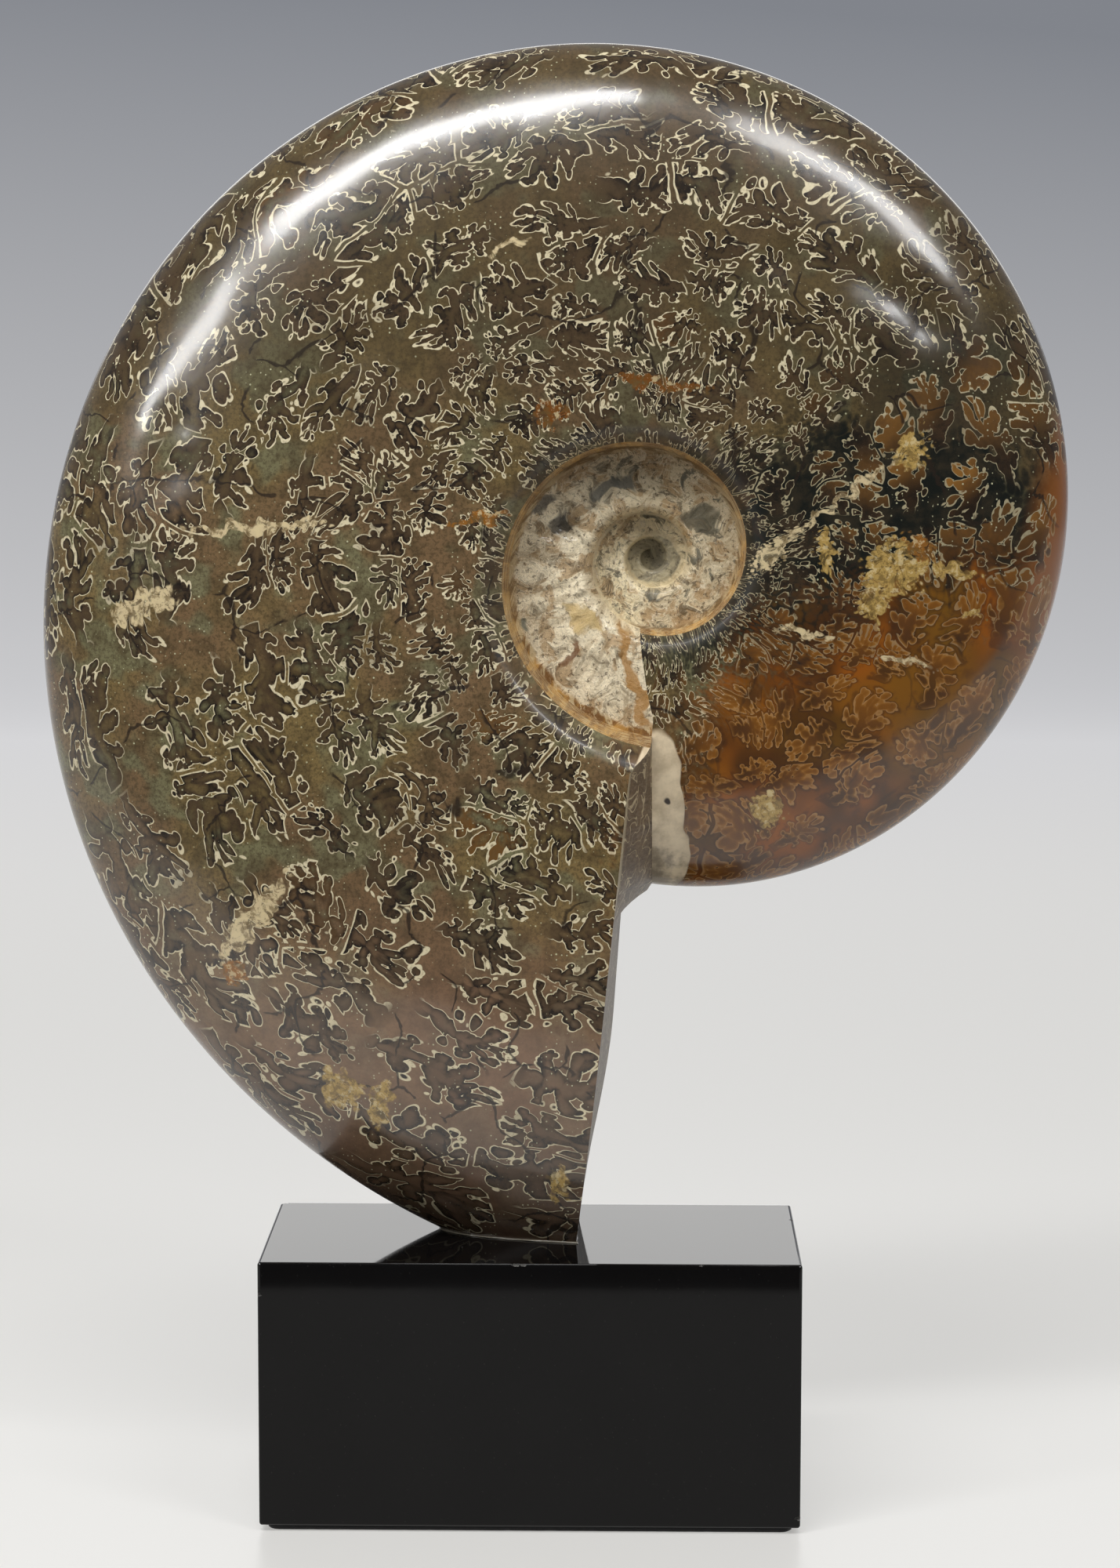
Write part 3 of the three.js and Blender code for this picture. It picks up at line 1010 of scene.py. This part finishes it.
def whorl_colour(net, maps):
    """The inner whorls: ivory with ochre, drab and slate blotches, strands, folds and pits; the innermost
    turns' own cream is painted paler still, as painted light against the shade of the deep centre.
    """
    blotch, mottle, open_end = maps.blotch, maps.mottle, maps.open_end
    slate = blotch.rise(0.44, 0.38) * mottle.rise(0.42, 0.56) * (1.0 - open_end * 0.8)
    return net.coats(
        net.blend(open_end, srgb(218, 201, 165), srgb(240, 225, 192)),
        # painted light: the innermost turns are painted paler to lift the shade of the deep centre
        (maps.inner, srgb(240, 224, 184)),
        (blotch.rise(0.50, 0.60) * 0.7, srgb(168, 130, 78)),
        (mottle.rise(0.54, 0.64) * (0.85 - open_end * 0.25), srgb(104, 88, 62)),
        (mottle.rise(0.42, 0.34) * 0.7, srgb(236, 222, 192)),
        (maps.strand.rise(0.54, 0.64) * 0.45, srgb(228, 212, 180)),
        (maps.fold.rise(0.52, 0.64) * open_end * 0.4, srgb(150, 124, 84)),
        (slate * 0.85, srgb(94, 92, 78)),
        (maps.pits * 0.75, srgb(88, 70, 46)),
        (maps.grain.rise(0.48, 0.70) * 0.45, srgb(128, 110, 80)))


def rim_coats(net, maps):
    """The pale line along each seam, and the wall's upper edge in honey and tan."""
    shaken = (maps.mottle - 0.5) * 0.10
    seam = (maps.across + shaken).rise(-0.06, -0.02) * maps.inner
    seam = seam.most((maps.across + 1.0 + shaken).rise(0.085, 0.04))
    lip = (maps.across + shaken).rise(-0.055, -0.02) * (1.0 - maps.inner)
    honey = net.blend(maps.mottle.rise(0.35, 0.6), srgb(192, 146, 72), srgb(128, 88, 40))
    honey = net.blend(maps.strand.rise(0.50, 0.58) * 0.7, honey, srgb(220, 200, 156))
    tan = net.blend(maps.strand.rise(0.42, 0.58), srgb(150, 122, 80), srgb(204, 180, 136))
    sides = maps.turn.rise(-0.50, -0.36).most(maps.turn.rise(0.30, 0.42))
    return (seam * 0.8, srgb(228, 212, 176)), (lip, net.blend(sides, tan, honey))


def heart_coats(net, maps):
    """The small round centre, with a paler ring; its grey core is painted lighter, as painted light against
    the shade of the deep centre.
    """
    steady = mirrored(net, net.warp(maps.place, 2.0, 0.8))
    # painted light: the centre's own grey, painted lighter to lift the shade of the deep centre
    core = net.blend(maps.mottle.rise(0.35, 0.65), srgb(136, 127, 104), srgb(184, 172, 140))
    core = net.blend(maps.pits * 0.6, core, srgb(66, 58, 44))
    halo = spot_mask(net, steady, *HALO) * 0.7
    return (halo, srgb(206, 190, 152)), (spot_mask(net, steady, *HEART), core)


def umbilicus_material():
    net = Net("umbilicus")
    maps = umbilicus_maps(net)
    colour = whorl_colour(net, maps)
    both_sides = mirrored(net, maps.torn)
    for x, z, long, wide, slant, tone in MARKS:
        mark = spot_mask(net, both_sides, x, z, long, wide, slant, MARK_EDGE)
        colour = net.blend(mark * 0.85, colour, tone)
    colour = net.coats(colour, *rim_coats(net, maps), *heart_coats(net, maps))
    net.relief(maps.mottle * 0.8 + maps.grain * 0.3 + maps.strand * 0.25, 0.5)
    net.polish(0.35)
    return net.finish(colour, 0.42 + maps.grain * 0.2)


def sawn_material():
    """Brown stone with pale strands, faint saw marks and the shell's pale edge."""
    net = Net("sawn_face")
    place = net.place()
    y, z, _ = net.split(place)
    cloud = net.noise(place, 6.0, 4.0, 0.6)
    grain = net.noise(place, 0.7, 4.0, 0.7)
    strand = abs(net.noise(net.warp(place, 4.0, 4.0), 5.0, 2.0) - 0.5)
    stripes = net.noise(net.join(y * 0.3, z), 0.5, 1.0)
    edge = (abs(y - SHELL_CENTRE[1]) + (cloud - 0.5) * 1.2).rise(25.6, 26.4)
    colour = net.coats(
        net.blend(cloud.rise(0.3, 0.7), srgb(112, 92, 68), srgb(86, 68, 50)),
        (grain.rise(0.42, 0.68) * 0.5, srgb(66, 56, 46)),
        ((1.0 - strand.rise(0.006, 0.020)) * 0.8, srgb(190, 174, 140)),
        (stripes.rise(0.5, 0.62) * 0.18, srgb(160, 146, 126)),
        (edge * 0.6, srgb(196, 182, 150)))
    net.relief(grain * 0.5 + stripes * 0.3, 0.08)
    return net.finish(colour, 0.34 + grain * 0.15)


def marble_material():
    net = Net("black_marble")
    place = net.spot()
    cloud = net.noise(place, 14.0, 4.0, dimensions="3D")
    fleck = net.cells(place, 1.1, dimensions="3D")["Distance"]
    dust = 1.0 - fleck.rise(0.02, 0.07)
    base = net.blend(cloud, srgb(9, 8, 8), srgb(15, 14, 14))
    colour = net.blend(dust * 0.25, base, srgb(120, 118, 112))
    net.relief(net.noise(place, 9.0, 2.0, dimensions="3D"), 0.004)
    return net.finish(colour, 0.035 + 0.03 * net.noise(place, 22.0, 3.0, dimensions="3D"), MARBLE_IOR)


def chip_material():
    net = Net("chipped_marble")
    place = net.spot()
    grain = net.noise(place, 0.35, 3.0, dimensions="3D")
    net.relief(grain, 0.15)
    return net.finish(net.blend(grain, srgb(40, 39, 38), srgb(96, 94, 90)), 0.6)


def felt_material():
    net = Net("black_felt")
    place = net.spot()
    fibre = net.noise(net.warp(place, 1.4, 1.2, "3D"), 0.18, 3.0, 0.7, dimensions="3D")
    net.relief(fibre, 0.12)
    net.shader.inputs["Sheen Weight"].default_value = 0.25
    return net.finish(net.blend(fibre, srgb(17, 17, 18), srgb(44, 43, 44)), 0.95)


def glue_material():
    net = Net("cured_glue")
    place = net.spot()
    cloud = net.noise(place, 1.5, 3.0, dimensions="3D")
    net.relief(cloud, 0.1)
    net.shader.inputs["Transmission Weight"].default_value = 0.35
    return net.finish(net.blend(cloud, srgb(120, 113, 98), srgb(158, 150, 134)), 0.22)


# The base

BLOCK_WIDTH = 100.0
BLOCK_DEPTH = 50.0
BLOCK_HEIGHT = 49.6
BLOCK_BEVEL = 0.55
BEVEL_SEGMENTS = 4
PAD_THICKNESS = 1.2
PAD_INSET = 1.4
PAD_CORNER = 2.0
PAD_STEP = 0.8
PAD_FRAY = 0.12
GLUE_THICKNESS = 0.3
BLOCK_TOP = PAD_THICKNESS + BLOCK_HEIGHT

# Rings of the pad, each with its level and inset, and of the glue, each with its level and reach
PAD_RINGS = [(0.0, 0.25), (0.2, 0.05), (0.6, 0.0), (1.0, 0.05), (PAD_THICKNESS, 0.25)]
GLUE_RINGS = [(0.0, 0.30), (0.12, 0.42), (0.24, 0.26), (GLUE_THICKNESS, 0.0)]

# Chips out of the block's edges: place, width, depth into the stone
CHIPS = [
    ((-49.6, 24.6, BLOCK_TOP), 1.5, 1.0), ((-47.8, 25.0, BLOCK_TOP), 0.8, 0.5),
    ((-2.6, -25.0, BLOCK_TOP), 0.9, 0.5), ((-1.2, -25.0, BLOCK_TOP - 0.1), 0.6, 0.35),
    ((31.5, -25.0, BLOCK_TOP), 0.5, 0.3), ((-49.9, -24.9, BLOCK_TOP - 6.0), 0.7, 0.4),
    ((49.9, 12.0, BLOCK_TOP), 0.8, 0.45), ((49.9, -24.9, PAD_THICKNESS + 2.0), 0.9, 0.5),
    ((12.0, 25.0, BLOCK_TOP), 1.0, 0.55),
]


def link(name, data, node):
    piece = bpy.data.objects.new(name, data)
    bpy.context.scene.collection.objects.link(piece)
    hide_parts(node)
    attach(piece, "root")
    return piece


def rounded_box(size, centre, edge, segments):
    work = bmesh.new()
    bmesh.ops.create_cube(work, size=1.0)
    bmesh.ops.scale(work, vec=Vector(size), verts=work.verts)
    bmesh.ops.bevel(
        work, geom=list(work.edges), offset=edge, segments=segments, profile=0.5, affect="EDGES",
        clamp_overlap=True)
    bmesh.ops.translate(work, vec=Vector(centre), verts=work.verts)
    return work


def rock(place, width, depth, seed):
    """A small broken lump that takes a chip out of an edge."""
    work = bmesh.new()
    bmesh.ops.create_icosphere(work, subdivisions=3, radius=1.0)
    for vert in work.verts:
        rough = noise.noise(vert.co * 1.7 + Vector((seed * 9.1, 0, 0)))
        rough += 0.5 * noise.noise(vert.co * 4.3 + Vector((0, seed * 5.3, 0)))
        vert.co *= 1 + 0.45 * rough
        vert.co = Vector((vert.co.x * width, vert.co.y * depth, vert.co.z * depth)) + Vector(place)
        vert.co *= MM
    data = bpy.data.meshes.new("rock")
    work.to_mesh(data)
    work.free()
    return bpy.data.objects.new("rock", data)


def take_chip(block, cutter, materials):
    """Takes a rock's shape out of the block, and leaves its second material in the hollow."""
    bpy.context.scene.collection.objects.link(cutter)
    for material in materials:
        cutter.data.materials.append(material)
    cutter.data.polygons.foreach_set("material_index", [1] * len(cutter.data.polygons))
    cut = block.modifiers.new("chip", "BOOLEAN")
    cut.operation = "DIFFERENCE"
    cut.solver = "EXACT"
    cut.object = cutter
    bpy.context.view_layer.update()
    result = bpy.data.meshes.new_from_object(
        block.evaluated_get(bpy.context.evaluated_depsgraph_get()))
    block.modifiers.clear()
    block.data = result
    bpy.data.objects.remove(cutter)


def make_block():
    size = tuple(value * MM for value in (BLOCK_WIDTH, BLOCK_DEPTH, BLOCK_HEIGHT))
    centre = (0, 0, (PAD_THICKNESS + BLOCK_HEIGHT / 2) * MM)
    work = rounded_box(size, centre, BLOCK_BEVEL * MM, BEVEL_SEGMENTS)
    data = bpy.data.meshes.new("block")
    work.to_mesh(data)
    work.free()
    materials = [marble_material(), chip_material()]
    for material in materials:
        data.materials.append(material)
    block = link("block", data, "marble_block")
    for seed, (place, width, depth) in enumerate(CHIPS, 1):
        take_chip(block, rock(place, width, depth, seed), materials)
    smooth_mesh(block.data, 8)


def stacked_rings(name, rings):
    """A closed mesh over rings of equally many points, the lowest ring first."""
    count = len(rings[0])
    faces = [
        (r * count + k, r * count + (k + 1) % count, (r + 1) * count + (k + 1) % count, (r + 1) * count + k)
        for r in range(len(rings) - 1) for k in range(count)
    ]
    faces.append(tuple(reversed(range(count))))
    faces.append(tuple(range((len(rings) - 1) * count, len(rings) * count)))
    data = bpy.data.meshes.new(name)
    data.from_pydata([Vector(point) * MM for ring in rings for point in ring], [], faces)
    return data


def pad_outline(half_x, half_y):
    """The pad's outline with round corners, in short steps."""
    bends = []
    for cx, cy, start in ((1, 1, 0), (-1, 1, 90), (-1, -1, 180), (1, -1, 270)):
        for k in range(7):
            turn = math.radians(start + 15 * k)
            bends.append((cx * (half_x - PAD_CORNER) + PAD_CORNER * math.cos(turn),
                          cy * (half_y - PAD_CORNER) + PAD_CORNER * math.sin(turn)))
    points = []
    for (ax, ay), (bx, by) in zip(bends, bends[1:] + bends[:1]):
        steps = max(1, int(math.hypot(bx - ax, by - ay) / PAD_STEP))
        points += [(ax + (bx - ax) * k / steps, ay + (by - ay) * k / steps) for k in range(steps)]
    return points


def make_pad():
    """The felt under the block, with a slightly uneven cut edge."""
    half_x = BLOCK_WIDTH / 2 - PAD_INSET
    half_y = BLOCK_DEPTH / 2 - PAD_INSET
    points = pad_outline(half_x, half_y)
    rings = []
    for level, inset in PAD_RINGS:
        ring = []
        for x, y in points:
            fray = inset + PAD_FRAY * abs(noise.noise(Vector((x / 0.9, y / 0.9, level))))
            ring.append((x * (1 - fray / half_x), y * (1 - fray / half_y), level))
        rings.append(ring)
    data = stacked_rings("pad", rings)
    smooth_mesh(data, 50)
    data.materials.append(felt_material())
    link("pad", data, "felt_pad")


def foot_outline(data):
    """The outline of the ground foot, going round."""
    foot = max(data.polygons, key=lambda polygon: len(polygon.vertices))
    return [Vector(data.vertices[k].co) / MM for k in foot.vertices]


def make_glue(outline):
    """The glue under the foot, squeezed out a little all round and more at a few places."""
    middle = sum(outline, Vector()) / len(outline)
    rings = []
    for level, out in GLUE_RINGS:
        ring = []
        for point in outline:
            away = (point - middle).to_2d().normalized()
            wobble = 0.6 + 0.8 * noise.noise(Vector((point.x / 2.3, point.y / 2.3, 4.0)))
            reach = out * max(0.3, wobble)
            ring.append((point.x + away.x * reach, point.y + away.y * reach, BLOCK_TOP + level))
        rings.append(ring)
    data = stacked_rings("glue", rings)
    work = bmesh.new()
    work.from_mesh(data)
    bmesh.ops.recalc_face_normals(work, faces=work.faces)
    work.to_mesh(data)
    work.free()
    smooth_mesh(data, 50)
    data.materials.append(glue_material())
    link("glue", data, "glue_film")


# Stage and light

# The backdrop in metres: steps of its floor, then the sweep up into the wall
FLOOR_STEPS = (-0.21, -0.1, 0.1, 0.4, 0.9, 1.4)
SWEEP_RADIUS = 0.8
WALL_TOP = 0.52
STAGE_HALF_WIDTH = 1.6

# Softboxes: name, bearing round the shell, length and width in millimetres, and radiance; all
# stand off the front by one tilt and distance
SOFTBOX_TILT = 56.0
SOFTBOX_DISTANCE = 970.0
SOFTBOXES = [
    ("top_softbox", 110.0, (820, 130), 24),
    ("left_softbox", 151.5, (280, 100), 20),
    ("right_softbox", 52.5, (500, 130), 16),
]


def paper_material():
    """Backdrop paper that carries its own light: a pale floor, and a grey-blue wall behind."""
    net = Net("backdrop_paper")
    x, y, z = net.split(net.spot())
    far = y.rise(200.0, 1600.0)
    up = ((z + x * 0.09) / 470.0).most(0.0).least(1.0)
    tone = net.blend(far, srgb(240, 239, 236), srgb(190, 190, 192))
    tone = net.blend(up, tone, srgb(128, 131, 138))
    net.feed(net.shader.inputs["Emission Color"], net.blend(far, srgb(167, 166, 163), tone))
    net.shader.inputs["Emission Strength"].default_value = 1.0
    return net.finish(net.blend(far, srgb(165, 164, 162), srgb(10, 10, 10)), 0.35)


def make_stage():
    """A pale paper floor that sweeps up behind into a grey-blue wall."""
    profile = [(y, 0.0) for y in FLOOR_STEPS]
    for k in range(1, 25):
        turn = math.radians(90 * k / 24)
        height = SWEEP_RADIUS * (1 - math.cos(turn))
        if height > WALL_TOP:
            break
        profile.append((FLOOR_STEPS[-1] + SWEEP_RADIUS * math.sin(turn), height))
    verts = [(side * STAGE_HALF_WIDTH, y, z) for y, z in profile for side in (-1, 1)]
    faces = [(2 * k, 2 * k + 1, 2 * k + 3, 2 * k + 2) for k in range(len(profile) - 1)]
    data = bpy.data.meshes.new("backdrop")
    data.from_pydata(verts, [], faces)
    data.polygons.foreach_set("use_smooth", [True] * len(data.polygons))
    data.materials.append(paper_material())
    obj = bpy.data.objects.new("backdrop", data)
    bpy.context.scene.collection.objects.link(obj)


def make_world():
    """A dark studio with a softer wall behind and a bright card low down behind the backdrop."""
    net = Net("studio", "worlds")
    _, y, z = net.split(net.coordinate("Generated"))
    room = net.blend(y.rise(-0.2, 0.6), (0.07, 0.072, 0.076), (0.26, 0.26, 0.27))
    low = net.blend(z.rise(0.10, 0.16), room, (1.75, 1.74, 1.72))
    card = net.blend(z.rise(0.45, 0.35), room, low)
    card = net.blend(y.rise(0.80, 0.93), room, card)
    net.feed(net.tree.nodes["Background"].inputs["Color"], card)
    bpy.context.scene.world = net.owner


def softbox(name, bearing, size, radiance):
    """A long softbox that lights the shell from one bearing of its face."""
    turn, lean = math.radians(bearing), math.radians(SOFTBOX_TILT)
    outward = Vector((math.cos(turn), 0, math.sin(turn)))
    along = Vector((-math.sin(turn), 0, math.cos(turn)))
    towards = outward * math.sin(lean) + Vector((0, -1, 0)) * math.cos(lean)
    data = bpy.data.lights.new(name, "AREA")
    data.shape = "RECTANGLE"
    data.size, data.size_y = size[0] * MM, size[1] * MM
    data.energy = radiance * math.pi * data.size * data.size_y
    light = bpy.data.objects.new(name, data)
    turned = Matrix((along, towards.cross(along), towards)).transposed().to_4x4()
    place = (Vector(SHELL_CENTRE) + towards * SOFTBOX_DISTANCE) * MM
    light.matrix_world = Matrix.Translation(place) @ turned
    bpy.context.scene.collection.objects.link(light)


bpy.context.scene.view_settings.view_transform = "Standard"
make_camera()
make_stage()
make_world()
for name, bearing, size, radiance in SOFTBOXES:
    softbox(name, bearing, size, radiance)
shell = make_ammonite()
make_glue(foot_outline(shell.data))
make_block()
make_pad()
